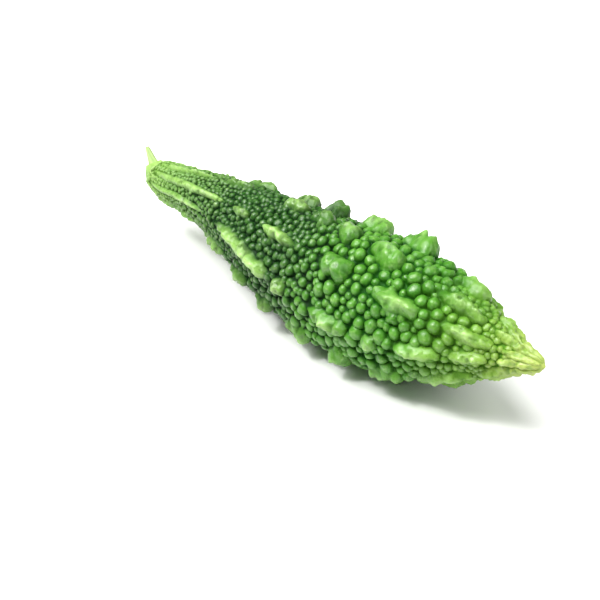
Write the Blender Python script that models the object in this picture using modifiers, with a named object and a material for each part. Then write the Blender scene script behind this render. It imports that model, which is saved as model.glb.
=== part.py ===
"""A bitter gourd lying on a table: the warty fruit, and the stub of the stem that it grew on.

Metres, +Z up. +X runs along the fruit from the stem end to the blossom tip, and -Y is the side that the
picture shows. The origin is on the table, under the middle of the gourd's box.

The fruit is a turned core, bent along a spine. Its skin is raised by a formula into lengthwise ridges,
which break up into blocks over the belly, and into round warts that fill the lanes between them.
"""

import math
import random

import bmesh
import bpy
import numpy as np
from mathutils import Vector

MM = 0.001
SEED = 23

# The fruit's core, without ridges or warts. A station is (share of the way from stem end to tip, value).
FRUIT_LENGTH = 232 * MM
CORE_RADIUS_MM = [
    (0.00, 3.6), (0.014, 5.9), (0.045, 7.8), (0.14, 9.7), (0.23, 13.0), (0.33, 17.5), (0.47, 22.4),
    (0.59, 24.4), (0.69, 23.8), (0.79, 19.2), (0.875, 11.8), (0.945, 4.8), (1.00, 1.4),
]
TIP_ROUNDING = 3 * MM
SPINE_PITCH_DEG = [
    (0.00, -55), (0.035, -12), (0.09, 8), (0.16, 6), (0.24, -2.5), (0.32, -6), (0.42, -5), (0.56, 2),
    (0.71, 7.5), (0.86, 9), (1.00, 12),
]
SPINE_YAW_DEG = [(0.00, -3), (0.30, -1), (0.60, 1.5), (1.00, -2)]

# Ridges run along the fruit. Angles go round from the side that faces -Y, up over the top.
RIDGES = 9
FIRST_RIDGE_DEG = 10
RIDGE_TURN_DEG = [
    (0.0, -4.5), (0.2, 0), (0.3, 7.5), (0.42, 5.5), (0.52, 2), (0.61, -0.5), (0.72, -8), (0.86, -10),
    (1.0, -10),
]
RIDGE_SWAY_DEG = 3.5
RIDGE_HALF_WIDTH_MM = [(0.0, 1.4), (0.1, 1.9), (0.3, 2.7), (0.55, 3.9), (0.75, 3.5), (0.88, 2.4), (1.0, 1.0)]
RIDGE_HEIGHT_MM = [(0.0, 0.7), (0.1, 1.4), (0.3, 3.2), (0.55, 5.0), (0.75, 4.4), (0.88, 2.3), (1.0, 0.5)]

# A ridge breaks into blocks. Ridges 0 to 3 are in view and ridges 6 and 7 carry the weight, so theirs are
# set by hand, as (share at the start, share at the end, height factor, width factor). The others are drawn.
SET_BLOCKS = {
    0: [
        (0.010, 0.232, 0.90, 1.00), (0.265, 0.454, 1.05, 1.05), (0.468, 0.506, 0.80, 1.05),
        (0.562, 0.664, 0.95, 0.95), (0.688, 0.722, 0.80, 0.90), (0.748, 0.836, 1.00, 1.05),
        (0.842, 0.910, 1.00, 1.05), (0.922, 0.995, 1.00, 1.00),
    ],
    1: [
        (0.000, 0.274, 1.10, 1.10), (0.293, 0.350, 0.75, 0.80), (0.397, 0.492, 1.10, 0.75),
        (0.549, 0.635, 1.15, 1.50), (0.684, 0.789, 1.05, 1.25), (0.824, 0.915, 1.10, 1.10),
        (0.926, 0.995, 1.00, 1.00),
    ],
    2: [
        (0.010, 0.203, 0.90, 1.00), (0.227, 0.293, 0.95, 0.95), (0.366, 0.435, 1.00, 1.40),
        (0.447, 0.511, 1.00, 1.45), (0.535, 0.592, 1.00, 1.45), (0.622, 0.712, 1.10, 1.50),
        (0.789, 0.887, 1.30, 1.05), (0.901, 0.995, 1.05, 1.00),
    ],
    3: [
        (0.010, 0.166, 0.80, 1.00), (0.189, 0.217, 0.80, 0.90), (0.241, 0.312, 1.25, 1.20),
        (0.348, 0.414, 1.15, 1.40), (0.422, 0.487, 1.40, 1.45), (0.517, 0.600, 1.20, 1.55),
        (0.626, 0.716, 1.40, 1.65), (0.772, 0.850, 1.10, 1.40), (0.880, 0.995, 0.95, 1.00),
    ],
    6: [
        (0.010, 0.194, 0.90, 1.00), (0.222, 0.335, 1.00, 1.00), (0.364, 0.430, 1.00, 1.00),
        (0.449, 0.520, 1.15, 1.10), (0.559, 0.626, 1.00, 1.10), (0.669, 0.736, 0.95, 1.00),
        (0.765, 0.872, 0.95, 1.00), (0.882, 0.995, 1.00, 1.00),
    ],
    7: [
        (0.000, 0.222, 0.95, 1.00), (0.250, 0.316, 1.00, 0.90), (0.345, 0.411, 1.00, 1.00),
        (0.435, 0.506, 1.15, 1.10), (0.544, 0.611, 1.00, 1.10), (0.650, 0.707, 1.00, 1.00),
        (0.746, 0.853, 0.95, 1.00), (0.872, 0.995, 1.00, 1.00),
    ],
}
BLOCK_LENGTH_MM = [(0.0, 36), (0.12, 30), (0.28, 17), (0.45, 13), (0.68, 14), (0.80, 24), (1.0, 30)]
BLOCK_GAP_MM = [(0.0, 3), (0.2, 5), (0.45, 7), (0.68, 6), (0.82, 2.5), (1.0, 2)]
BLOCK_LENGTH_SPREAD = (0.8, 1.25)
BLOCK_GAP_SPREAD = (0.6, 1.3)
BLOCK_HEIGHT_SPREAD = (0.92, 1.08)
BLOCK_WIDTH_SPREAD = (0.85, 1.15)
FIRST_BLOCK_START = (0.0, 0.02)
LAST_BLOCK_START = 0.93
LAST_BLOCK_FROM = 0.90
LAST_BLOCK_END = 0.995

# A block climbs from its stem side to its crest, and then drops. It is narrow where it starts and round
# where it ends. The powers round its back and its sides.
CREST_FROM = 0.55
CREST_TO = 0.76
CLIMB_POWER = 0.9
CREST_POWER = 0.7
OPENS_OVER = 9 * MM
CLOSES_OVER = 4 * MM
START_WIDTH = 0.35
END_WIDTH = 0.6

# Warts fill the rest. They are larger than life here, so that each one keeps its dome in few faces.
WART_RADIUS_MM = [
    (0.0, 1.4), (0.1, 1.8), (0.25, 2.3), (0.45, 2.9), (0.62, 3.2), (0.78, 2.9), (0.9, 2.0), (1.0, 1.2),
]
WART_RADIUS_SPREAD = (0.86, 1.1)
WART_HEIGHT_SHARE = 0.86
WART_POWER = 0.65
WART_TRIES = 20000
WART_SMALLER_AFTER = 12000
WART_SMALLER = 0.76
WART_SPACING = 0.94
WART_CLEAR_OF_BLOCK = 0.55
WARTLESS_ENDS = (0.025, 0.965)
WIDEST_CORE = 25 * MM

# The skin is sampled finely, and then thinned to as few faces as keep its shape.
RINGS = 330
RING_POINTS = 216
FRUIT_TRIANGLES = 10400
REST_CUT = 1.3 * MM

# The stem's stub stands on the fruit's flat end and bends upwards.
STEM_GAP = 0.3 * MM
STEM_LENGTH = 7.6 * MM
STEM_BEND_DEG = 14
STEM_BENT_BY = 0.6
STEM_RADIUS_MM = [(0.0, 2.7), (0.15, 2.2), (0.35, 1.8), (0.6, 1.45), (0.85, 1.1), (1.0, 0.75)]
STEM_POINTS = 14

FRUIT_GREEN = (0.105, 0.262, 0.040)
STEM_GREEN = (0.440, 0.560, 0.240)


def through(stations, at):
    """The smooth curve through the stations, read at each position in at."""
    known, values = np.array(stations, float).T
    slopes = np.gradient(values, known)
    left = np.clip(np.searchsorted(known, at) - 1, 0, len(known) - 2)
    step = known[left + 1] - known[left]
    f = (at - known[left]) / step
    near = (2 * f**3 - 3 * f**2 + 1) * values[left] + (f**3 - 2 * f**2 + f) * step * slopes[left]
    far = (3 * f**2 - 2 * f**3) * values[left + 1] + (f**3 - f**2) * step * slopes[left + 1]
    return near + far


def core_radius(share):
    """The core's radius, closing in a small dome at the blossom tip."""
    into_dome = np.clip((share - 1) * FRUIT_LENGTH / TIP_ROUNDING + 1, 0, 1)
    return through(CORE_RADIUS_MM, share) * MM * np.sqrt(1 - into_dome**2)


class Spine:
    """The line that the fruit bends along, with the directions along it, across it and up from it."""

    SAMPLES = 800

    def __init__(self):
        self.share = np.linspace(0, 1, self.SAMPLES)
        pitch = np.radians(through(SPINE_PITCH_DEG, self.share))
        yaw = np.radians(through(SPINE_YAW_DEG, self.share))
        self.along = np.stack([np.cos(pitch) * np.cos(yaw), np.cos(pitch) * np.sin(yaw), np.sin(pitch)], 1)
        self.across = np.stack([-np.sin(yaw), np.cos(yaw), np.zeros_like(yaw)], 1)
        self.up = np.cross(self.along, self.across)
        steps = (self.along[1:] + self.along[:-1]) / 2 * FRUIT_LENGTH / (self.SAMPLES - 1)
        self.place = np.concatenate([np.zeros((1, 3)), np.cumsum(steps, 0)])

    def read(self, line, share):
        return np.stack([np.interp(share, self.share, line[:, i]) for i in range(3)], -1)

    def outward(self, share, angle):
        """The direction out of the fruit at an angle round it, square to the spine."""
        across, up = self.read(self.across, share), self.read(self.up, share)
        return -np.cos(angle)[..., None] * across + np.sin(angle)[..., None] * up


def ridge_angle(ridge, share):
    sway = RIDGE_SWAY_DEG * np.sin(2 * math.pi * (1.3 * share + 0.37 * ridge))
    return np.radians(FIRST_RIDGE_DEG + 360 / RIDGES * ridge + through(RIDGE_TURN_DEG, share) + sway)


def turn_between(a, b):
    """How far round from b to a, the short way."""
    return (a - b + math.pi) % (2 * math.pi) - math.pi


def ridge_blocks(draw):
    """Each ridge's blocks, as (ridge, share at the start, share at the end, height and width factors)."""
    blocks = [(ridge, *block) for ridge, listed in SET_BLOCKS.items() for block in listed]
    for ridge in sorted(set(range(RIDGES)) - set(SET_BLOCKS)):
        start = draw.uniform(*FIRST_BLOCK_START)
        while start < LAST_BLOCK_START:
            length = float(through(BLOCK_LENGTH_MM, start)) * MM * draw.uniform(*BLOCK_LENGTH_SPREAD)
            end = start + length / FRUIT_LENGTH
            if end > LAST_BLOCK_FROM:
                end = LAST_BLOCK_END
            height, width = draw.uniform(*BLOCK_HEIGHT_SPREAD), draw.uniform(*BLOCK_WIDTH_SPREAD)
            blocks.append((ridge, start, end, height, width))
            gap = float(through(BLOCK_GAP_MM, end)) * MM * draw.uniform(*BLOCK_GAP_SPREAD)
            start = end + gap / FRUIT_LENGTH
    return blocks


def block_width(along, long):
    """A block's width along it, as a share of its full width."""
    opened = np.sin(np.clip(along * long / min(OPENS_OVER, 0.6 * long), 0, 1) * math.pi / 2)
    closed = np.sin(np.clip((1 - along) * long / min(CLOSES_OVER, 0.3 * long), 0, 1) * math.pi / 2)
    return (START_WIDTH + (1 - START_WIDTH) * opened) * (END_WIDTH + (1 - END_WIDTH) * closed)


def block_rise(block, share, angle):
    """A ridge block's height: a round crest that climbs from its stem side and drops at its tip side."""
    ridge, start, end, height_factor, width_factor = block
    along = (share - start) / (end - start)
    half_width = through(RIDGE_HALF_WIDTH_MM, share) * MM * width_factor
    half_width = half_width * block_width(along, (end - start) * FRUIT_LENGTH)
    sideways = turn_between(angle, ridge_angle(ridge, share)) * core_radius(share) / half_width
    inside = (along > 0) & (along < 1) & (np.abs(sideways) < 1)
    along, sideways = np.where(inside, along, 0), np.where(inside, sideways, 0)
    climb = np.sin(np.clip(along / CREST_FROM, 0, 1) * math.pi / 2) ** CLIMB_POWER
    drop = np.sqrt(1 - np.clip((along - CREST_TO) / (1 - CREST_TO), 0, 1) ** 2)
    crest = (1 - sideways**2) ** CREST_POWER
    height = through(RIDGE_HEIGHT_MM, share) * MM * height_factor
    return np.where(inside, height * climb * drop * crest, 0)


def wart_places(draw, blocks):
    """Warts thrown one by one at the skin, each kept if it has room, as (share, angle, radius)."""
    kept = np.zeros((0, 3))
    for number in range(WART_TRIES):
        share = draw.uniform(*WARTLESS_ENDS)
        angle = draw.uniform(-math.pi, math.pi)
        round_core = float(core_radius(share))
        if draw.random() > round_core / WIDEST_CORE:
            continue
        shrink = 1.0 if number < WART_SMALLER_AFTER else WART_SMALLER
        radius = float(through(WART_RADIUS_MM, share)) * MM * draw.uniform(*WART_RADIUS_SPREAD) * shrink
        if on_a_block(blocks, share, angle, WART_CLEAR_OF_BLOCK * radius, round_core):
            continue
        sideways = turn_between(kept[:, 1], angle) * round_core
        apart = np.hypot((kept[:, 0] - share) * FRUIT_LENGTH, sideways)
        if np.all(apart > (kept[:, 2] + radius) * WART_SPACING):
            kept = np.vstack([kept, (share, angle, radius)])
    return kept


def on_a_block(blocks, share, angle, spare, round_core):
    """Whether a point of the skin is on a ridge block, or nearer to one than spare."""
    for ridge, start, end, _, width_factor in blocks:
        if not start - spare / FRUIT_LENGTH < share < end + spare / FRUIT_LENGTH:
            continue
        half_width = float(through(RIDGE_HALF_WIDTH_MM, share)) * MM * width_factor
        if abs(turn_between(angle, ridge_angle(ridge, share))) * round_core < half_width + spare:
            return True
    return False


def skin_rise(share, angles, blocks, warts):
    """How far the skin stands off the core, at each angle of the ring at one share of the length."""
    ring = np.full_like(angles, share)
    rise = np.zeros_like(angles)
    for block in blocks:
        if block[1] < share < block[2]:
            rise = np.maximum(rise, block_rise(block, ring, angles))
    near = warts[np.abs(warts[:, 0] - share) * FRUIT_LENGTH < warts[:, 2]]
    for place, angle, radius in near:
        sideways = turn_between(angles, angle) * core_radius(np.array(place))
        apart = np.hypot((place - share) * FRUIT_LENGTH, sideways) / radius
        dome = radius * WART_HEIGHT_SHARE * (1 - np.clip(apart, 0, 1) ** 2) ** WART_POWER
        rise = np.maximum(rise, dome)
    return rise


def turned_core():
    """The straight core as a mesh: its profile, turned about X."""
    share = np.concatenate([[0], np.linspace(0, 1, RINGS)])
    radius = core_radius(share)
    radius[0] = 0
    mesh = bpy.data.meshes.new("core_profile")
    points = [(x * FRUIT_LENGTH, 0, r) for x, r in zip(share, radius)]
    mesh.from_pydata(points, [(i, i + 1) for i in range(len(points) - 1)], [])
    profile = bpy.data.objects.new("core_profile", mesh)
    bpy.context.scene.collection.objects.link(profile)
    screw = profile.modifiers.new("turn", "SCREW")
    screw.axis = "X"
    screw.steps = screw.render_steps = RING_POINTS
    screw.use_normal_flip = True
    screw.use_merge_vertices = True
    screw.merge_threshold = 0.00001
    turned = mesh_of(profile)
    bpy.data.objects.remove(profile)
    return turned


def mesh_of(obj):
    """The object's mesh as its modifiers make it."""
    graph = bpy.context.evaluated_depsgraph_get()
    return bpy.data.meshes.new_from_object(obj.evaluated_get(graph))


def points_of(mesh):
    found = np.empty(len(mesh.vertices) * 3)
    mesh.vertices.foreach_get("co", found)
    return found.reshape(-1, 3)


def raise_and_bend(mesh, spine):
    """Moves each point of the turned core out by the skin's rise and onto the bent spine."""
    draw = random.Random(SEED)
    blocks = ridge_blocks(draw)
    warts = wart_places(draw, blocks)
    points = points_of(mesh)
    share = np.round(points[:, 0] / FRUIT_LENGTH, 6)
    radius = np.hypot(points[:, 1], points[:, 2])
    angle = np.arctan2(points[:, 2], -points[:, 1])
    rise = np.zeros(len(points))
    for ring in np.unique(share[radius > 0]):
        here = share == ring
        rise[here] = skin_rise(ring, angle[here], blocks, warts)
    slope = np.gradient(core_radius(spine.share), spine.share * FRUIT_LENGTH)
    lean = np.arctan(np.interp(share, spine.share, slope))
    outward, along = spine.outward(share, angle), spine.read(spine.along, share)
    normal = outward * np.cos(lean)[:, None] - along * np.sin(lean)[:, None]
    rise[(share == 0) | (share == 1)] = 0
    points = spine.read(spine.place, share) + outward * radius[:, None] + normal * rise[:, None]
    mesh.vertices.foreach_set("co", points.ravel())


def thinned(name, mesh, triangles):
    """The mesh as a new object with about that many triangles."""
    obj = bpy.data.objects.new(name, mesh)
    bpy.context.scene.collection.objects.link(obj)
    mesh.calc_loop_triangles()
    fewer = obj.modifiers.new("fewer faces", "DECIMATE")
    fewer.ratio = triangles / len(mesh.loop_triangles)
    fewer.use_collapse_triangulate = True
    obj.data = mesh_of(obj)
    obj.modifiers.clear()
    return obj


def cut_flat(obj, height):
    """Cuts the object off level at this height, so that it rests on flat spots."""
    shape = bmesh.new()
    shape.from_mesh(obj.data)
    everything = shape.verts[:] + shape.edges[:] + shape.faces[:]
    level = bmesh.ops.bisect_plane(
        shape, geom=everything, plane_co=(0, 0, height), plane_no=(0, 0, -1), clear_outer=True
    )
    rim = [e for e in level["geom_cut"] if isinstance(e, bmesh.types.BMEdge)]
    bmesh.ops.holes_fill(shape, edges=rim, sides=0)
    bmesh.ops.triangulate(shape, faces=shape.faces[:])
    shape.to_mesh(obj.data)
    shape.free()


def add_material(obj, name, colour, roughness):
    material = bpy.data.materials.new(name)
    material.use_nodes = True
    surface = material.node_tree.nodes["Principled BSDF"]
    surface.inputs["Base Color"].default_value = (*colour, 1)
    surface.inputs["Roughness"].default_value = roughness
    obj.data.materials.clear()
    obj.data.materials.append(material)


def make_fruit(spine):
    skin = turned_core()
    raise_and_bend(skin, spine)
    fruit = thinned("fruit", skin, FRUIT_TRIANGLES)
    lowest = points_of(fruit.data)[:, 2].min()
    cut_flat(fruit, lowest + REST_CUT)
    fruit.data.shade_smooth()
    add_material(fruit, "gourd_skin", FRUIT_GREEN, 0.42)
    return fruit


def make_stem(spine):
    """A tapering stub on a bent line, from just off the fruit's end."""
    tangent = Vector(-spine.along[0])
    upright = Vector(spine.up[0])
    curve = bpy.data.curves.new("stem", "CURVE")
    curve.dimensions = "3D"
    curve.fill_mode = "FULL"
    curve.bevel_depth = 1.0
    curve.bevel_resolution = 4
    curve.use_fill_caps = True
    line = curve.splines.new("POLY")
    line.points.add(STEM_POINTS - 1)
    place = Vector(spine.place[0]) + tangent * STEM_GAP
    step = STEM_LENGTH / (STEM_POINTS - 1)
    for number, point in enumerate(line.points):
        share = number / (STEM_POINTS - 1)
        point.co = (*place, 1)
        point.radius = float(through(STEM_RADIUS_MM, share)) * MM
        bend = math.radians(STEM_BEND_DEG) * min(1.0, share / STEM_BENT_BY)
        place = place + (tangent * math.cos(bend) + upright * math.sin(bend)) * step
    stem = bpy.data.objects.new("stem", curve)
    bpy.context.scene.collection.objects.link(stem)
    stem_mesh = mesh_of(stem)
    bpy.data.objects.remove(stem)
    shape = bmesh.new()
    shape.from_mesh(stem_mesh)
    bmesh.ops.remove_doubles(shape, verts=shape.verts[:], dist=0.00001)
    shape.to_mesh(stem_mesh)
    shape.free()
    stem = bpy.data.objects.new("stem", stem_mesh)
    bpy.context.scene.collection.objects.link(stem)
    add_material(stem, "stem_skin", STEM_GREEN, 0.6)
    return stem


def stand_on_origin(pieces):
    """Moves the pieces together so that the origin is on the table, under the middle of their box."""
    points = np.concatenate([points_of(piece.data) for piece in pieces])
    low, high = points.min(0), points.max(0)
    shift = Vector((-(low[0] + high[0]) / 2, -(low[1] + high[1]) / 2, -low[2]))
    for piece in pieces:
        for vertex in piece.data.vertices:
            vertex.co += shift


def main():
    for obj in list(bpy.data.objects):
        bpy.data.objects.remove(obj)
    spine = Spine()
    fruit = make_fruit(spine)
    stem = make_stem(spine)
    stand_on_origin([fruit, stem])
    gourd = bpy.data.collections.new("bitter_gourd")
    bpy.context.scene.collection.children.link(gourd)
    for piece in (fruit, stem):
        bpy.context.scene.collection.objects.unlink(piece)
        gourd.objects.link(piece)


main()
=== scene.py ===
"""A bitter gourd, as picked, lying on a pale floor in soft light.

The fruit is one turned skin, bent along the same spine as the solid that it stands for. The same ridges
break into the same blocks on it, and round beads of true size fill the lanes between them. The stem's
stub is a ribbed, drying stalk. Metres, +Z up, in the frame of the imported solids.
"""

import math
import random

import bmesh
import bpy
import numpy as np
from mathutils import Matrix, Vector, kdtree, noise


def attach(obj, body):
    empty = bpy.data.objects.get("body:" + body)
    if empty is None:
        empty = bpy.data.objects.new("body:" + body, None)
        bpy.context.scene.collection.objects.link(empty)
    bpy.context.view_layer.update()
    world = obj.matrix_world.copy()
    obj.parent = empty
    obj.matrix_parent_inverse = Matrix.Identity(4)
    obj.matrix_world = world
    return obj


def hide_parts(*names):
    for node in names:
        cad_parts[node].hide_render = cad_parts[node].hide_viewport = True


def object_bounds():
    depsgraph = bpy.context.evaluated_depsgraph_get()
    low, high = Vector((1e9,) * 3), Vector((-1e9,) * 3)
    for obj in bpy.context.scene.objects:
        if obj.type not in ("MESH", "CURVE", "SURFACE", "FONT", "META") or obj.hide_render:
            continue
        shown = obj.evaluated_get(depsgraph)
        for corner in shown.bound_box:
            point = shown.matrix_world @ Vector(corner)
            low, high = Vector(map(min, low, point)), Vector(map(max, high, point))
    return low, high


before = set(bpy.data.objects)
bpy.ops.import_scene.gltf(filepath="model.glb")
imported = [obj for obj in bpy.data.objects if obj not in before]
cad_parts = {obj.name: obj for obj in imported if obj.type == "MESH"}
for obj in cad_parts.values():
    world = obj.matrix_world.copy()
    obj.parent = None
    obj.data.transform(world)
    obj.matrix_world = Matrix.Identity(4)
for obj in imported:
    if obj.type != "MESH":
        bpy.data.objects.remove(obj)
CAD_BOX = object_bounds()

bl_info = {
    "name": "Bitter gourd",
    "version": (1, 0, 0),
    "blender": (4, 5, 0),
    "location": "View3D > Sidebar > Gourd",
    "description": "Grows a warty, ridged bitter gourd and sets it on a studio floor",
    "category": "Add Mesh",
}

MM = 0.001

# The fruit's core, without ridges or beads. A station is (share of the way from stem end to tip, value).
CORE_RADIUS_MM = [
    (0.00, 3.6), (0.014, 5.9), (0.045, 7.8), (0.14, 9.7), (0.23, 13.0), (0.33, 17.5), (0.47, 22.4),
    (0.59, 24.4), (0.69, 23.8), (0.79, 19.2), (0.875, 11.8), (0.945, 4.8), (1.00, 1.4),
]
TIP_ROUNDING = 3 * MM
SPINE_PITCH_DEG = [
    (0.00, -55), (0.035, -12), (0.09, 8), (0.16, 6), (0.24, -2.5), (0.32, -6), (0.42, -5), (0.56, 2),
    (0.71, 7.5), (0.86, 9), (1.00, 12),
]
SPINE_YAW_DEG = [(0.00, -3), (0.30, -1), (0.60, 1.5), (1.00, -2)]

# Ridges run along the fruit. Angles go round from the side that faces -Y, up over the top.
RIDGES = 9
FIRST_RIDGE_DEG = 10
RIDGE_TURN_DEG = [
    (0.0, -4.5), (0.2, 0), (0.3, 7.5), (0.42, 5.5), (0.52, 2), (0.61, -0.5), (0.72, -8), (0.86, -10),
    (1.0, -10),
]
RIDGE_SWAY_DEG = 3.5
RIDGE_SWAYS = 1.3
RIDGE_SWAY_SHIFT = 0.37
RIDGE_HALF_WIDTH_MM = [(0.0, 1.4), (0.1, 1.9), (0.3, 2.7), (0.55, 3.9), (0.75, 3.6), (0.88, 3.0), (1.0, 1.2)]
RIDGE_HEIGHT_MM = [(0.0, 0.7), (0.1, 1.4), (0.3, 3.2), (0.55, 5.0), (0.75, 4.4), (0.88, 2.3), (1.0, 0.5)]

# The blocks of the ridges in view and of those that carry the weight, as (share at the start, share at
# the end, height factor, width factor). The other ridges' blocks are drawn.
SET_BLOCKS = {
    0: [
        (0.010, 0.232, 0.90, 1.00), (0.265, 0.454, 1.05, 1.05), (0.468, 0.506, 0.80, 1.05),
        (0.562, 0.664, 0.95, 0.95), (0.688, 0.722, 0.80, 0.90), (0.748, 0.836, 1.00, 1.05),
        (0.842, 0.910, 1.00, 1.05), (0.922, 0.995, 1.00, 1.00),
    ],
    1: [
        (0.000, 0.274, 1.10, 1.10), (0.293, 0.350, 0.75, 0.80), (0.397, 0.492, 1.10, 0.75),
        (0.549, 0.635, 1.15, 1.50), (0.684, 0.789, 1.05, 1.25), (0.824, 0.915, 1.10, 1.10),
        (0.926, 0.995, 1.00, 1.00),
    ],
    2: [
        (0.010, 0.203, 0.90, 1.00), (0.227, 0.293, 0.95, 0.95), (0.366, 0.435, 1.00, 1.40),
        (0.447, 0.511, 1.00, 1.45), (0.535, 0.592, 1.00, 1.45), (0.622, 0.712, 1.10, 1.50),
        (0.789, 0.887, 1.30, 1.05), (0.901, 0.995, 1.05, 1.00),
    ],
    3: [
        (0.010, 0.166, 0.80, 1.00), (0.189, 0.217, 0.80, 0.90), (0.241, 0.312, 1.25, 1.20),
        (0.348, 0.414, 1.15, 1.40), (0.422, 0.487, 1.40, 1.45), (0.517, 0.600, 1.20, 1.55),
        (0.626, 0.716, 1.40, 1.65), (0.772, 0.850, 1.10, 1.40), (0.880, 0.995, 0.95, 1.00),
    ],
    6: [
        (0.010, 0.194, 0.90, 1.00), (0.222, 0.335, 1.00, 1.00), (0.364, 0.430, 1.00, 1.00),
        (0.449, 0.520, 1.15, 1.10), (0.559, 0.626, 1.00, 1.10), (0.669, 0.736, 0.95, 1.00),
        (0.765, 0.872, 0.95, 1.00), (0.882, 0.995, 1.00, 1.00),
    ],
    7: [
        (0.000, 0.222, 0.95, 1.00), (0.250, 0.316, 1.00, 0.90), (0.345, 0.411, 1.00, 1.00),
        (0.435, 0.506, 1.15, 1.10), (0.544, 0.611, 1.00, 1.10), (0.650, 0.707, 1.00, 1.00),
        (0.746, 0.853, 0.95, 1.00), (0.872, 0.995, 1.00, 1.00),
    ],
}
BLOCK_LENGTH_MM = [(0.0, 36), (0.12, 30), (0.28, 17), (0.45, 13), (0.68, 14), (0.80, 24), (1.0, 30)]
BLOCK_GAP_MM = [(0.0, 3), (0.2, 5), (0.45, 7), (0.68, 6), (0.82, 2.5), (1.0, 2)]
BLOCK_LENGTH_SPREAD = (0.8, 1.25)
BLOCK_GAP_SPREAD = (0.6, 1.3)
BLOCK_HEIGHT_SPREAD = (0.92, 1.08)
BLOCK_WIDTH_SPREAD = (0.85, 1.15)
FIRST_BLOCK_START = (0.0, 0.02)
LAST_BLOCK_START = 0.93
LAST_BLOCK_FROM = 0.90
LAST_BLOCK_END = 0.995

# A block climbs from its stem side to its crest, and then drops. It is narrow where it starts and round
# where it ends, except that the long ones of the neck taper off. Those that run into the tip climb at once
# and stand higher. A low keel power makes a block's back sharp.
CREST_FROM = 0.6
CREST_TO = 0.77
TIP_CREST_FROM = 0.16
TIP_HEIGHT = 1.3
CLIMB_POWER = 0.9
KEEL_POWER = 1.6
NECK_BLOCK_START = 0.05
NECK_TAPER = 0.45
NECK_TAPERS_FROM = 0.4
OPENS_OVER = 9 * MM
OPENS_BY = 0.6
CLOSES_OVER = 4 * MM
CLOSES_BY = 0.3
START_WIDTH = 0.35
END_WIDTH = 0.6

# The skin's points crowd towards a block's drop out to this many of its half widths.
CROWDED_TO = 1.5

# Noise bends a block's outline, back and top. It does so less on the neck and near the tip.
WANDER_SCALE = 230
WANDER_SHIFTS = [(9.3, -1.5, -8.0), (0.4, 0.7, 0.2), (-2.1, 7.3, 5.7)]
EVEN_NECK = (0.15, 0.4)
EVEN_NECK_SHARE = 0.25
EVEN_TIP = (0.76, 0.88)
EVEN_TIP_SHARE = 0.5
BACK_WANDER = 0.5
TOP_WANDER = 0.6

# Beads share out the lanes between the blocks. Each one overlaps its neighbours a little, so that only a
# crease is left between them, and they climb the foot of each block, up to where it's bare. Small beads fill
# what is left wide open. A knuckle is a low bead on a block, and a pit is a dimple in one. Values without a
# unit are counts, powers or shares of a bead, a block or the whole length. A bead's cell is in squares of
# its radius.
BEAD_RADIUS_MM = [
    (0.0, 0.75), (0.1, 1.0), (0.25, 1.35), (0.4, 1.75), (0.52, 2.25), (0.62, 2.6), (0.72, 2.65), (0.8, 2.4),
    (0.9, 1.6), (1.0, 0.9),
]
BEAD_CELL = 2.85
BEAD_SAMPLES = 50000
BEAD_ROUNDS = 9
BEAD_LIMITS = (0.8, 1.2)
BEAD_SPREAD = (0.86, 1.14)
BEAD_STRETCH = 0.25
GROUND_RISE = 0.35 * MM
SMALLEST_GAP = 0.5
SMALL_BEAD = 1.2
BEADLESS_ENDS = (0.025, 0.955)
BARE_WIDTH = 0.75
BARE_LENGTH = (0.02, 0.98)
SETTLED_AT = 0.25
KNUCKLE_SIZE = (0.6, 1.2)
KNUCKLES_IN_ROOM = 1.3
KNUCKLE_POWER = 0.75
PITS = (2, 7)
PIT_RADIUS_MM = (0.6, 1.0)
PITS_ALONG = (0.2, 0.85)
PITS_ASIDE = 0.6

# Lumps, as (scale, share), make what stands out of the skin uneven. The skin swells under its ridges, but
# not at its ends, where it is bare and counts as high.
LUMPS = [(160, 0.8), (420, 0.9), (700, 0.5)]
LUMPY_UP_TO = 2.2 * MM
SWELLS_BETWEEN = (0.15, 0.45, 0.8, 0.97)
COVERED_BETWEEN = (0.012, 0.07, 0.95, 0.985)
BARE_HEIGHT = 0.7

# Rings of points lie closer together where the beads are small. Their gaps are in proportion to the first
# number, plus the second for each millimetre of a bead's radius.
RING_GAP = (0.35, 0.25)

# Blocks by ridge and place in its list: those that are highest and broadest at their stem side, and how
# pale those are that stand out from the skin round them. The others' paleness is drawn.
STEMWARD_BLOCKS = {(1, 2)}
PALE_BLOCKS = {
    (0, 0): 0.8, (0, 1): 1.0, (0, 3): 1.0, (0, 5): 0.7, (0, 6): 0.7, (1, 0): 1.0, (1, 1): 0.5, (1, 2): 1.0,
    (0, 2): 0.8, (1, 3): 0.0, (1, 4): 1.0, (1, 5): 0.9, (2, 1): 0.4, (2, 2): 0.7, (2, 3): 0.1, (2, 5): 0.2,
    (2, 6): 0.6, (3, 2): 0.3, (3, 3): 0.3, (3, 4): 0.1, (3, 5): 0.4, (3, 6): 0.4,
}
PALENESS_SPREAD = (0.1, 0.7)


def through(stations, at):
    """The smooth curve through the stations, read at each position in at."""
    known, values = np.array(stations, float).T
    slopes = np.gradient(values, known)
    left = np.clip(np.searchsorted(known, at) - 1, 0, len(known) - 2)
    step = known[left + 1] - known[left]
    f = (at - known[left]) / step
    near = (2 * f**3 - 3 * f**2 + 1) * values[left] + (f**3 - 2 * f**2 + f) * step * slopes[left]
    far = (3 * f**2 - 2 * f**3) * values[left + 1] + (f**3 - f**2) * step * slopes[left + 1]
    return near + far


def turn_between(a, b):
    """How far round from b to a, the short way."""
    return (a - b + math.pi) % (2 * math.pi) - math.pi


def smooth_step(low, high, value):
    """0 below low, 1 above high, and smooth between."""
    f = np.clip((value - low) / (high - low), 0, 1)
    return f * f * (3 - 2 * f)


def smooth_hill(foot, top, top_end, foot_end, value):
    """1 from top to top_end, 0 before foot and past foot_end, and smooth between."""
    return smooth_step(foot, top, value) * smooth_step(-foot_end, -top_end, -value)


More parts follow.
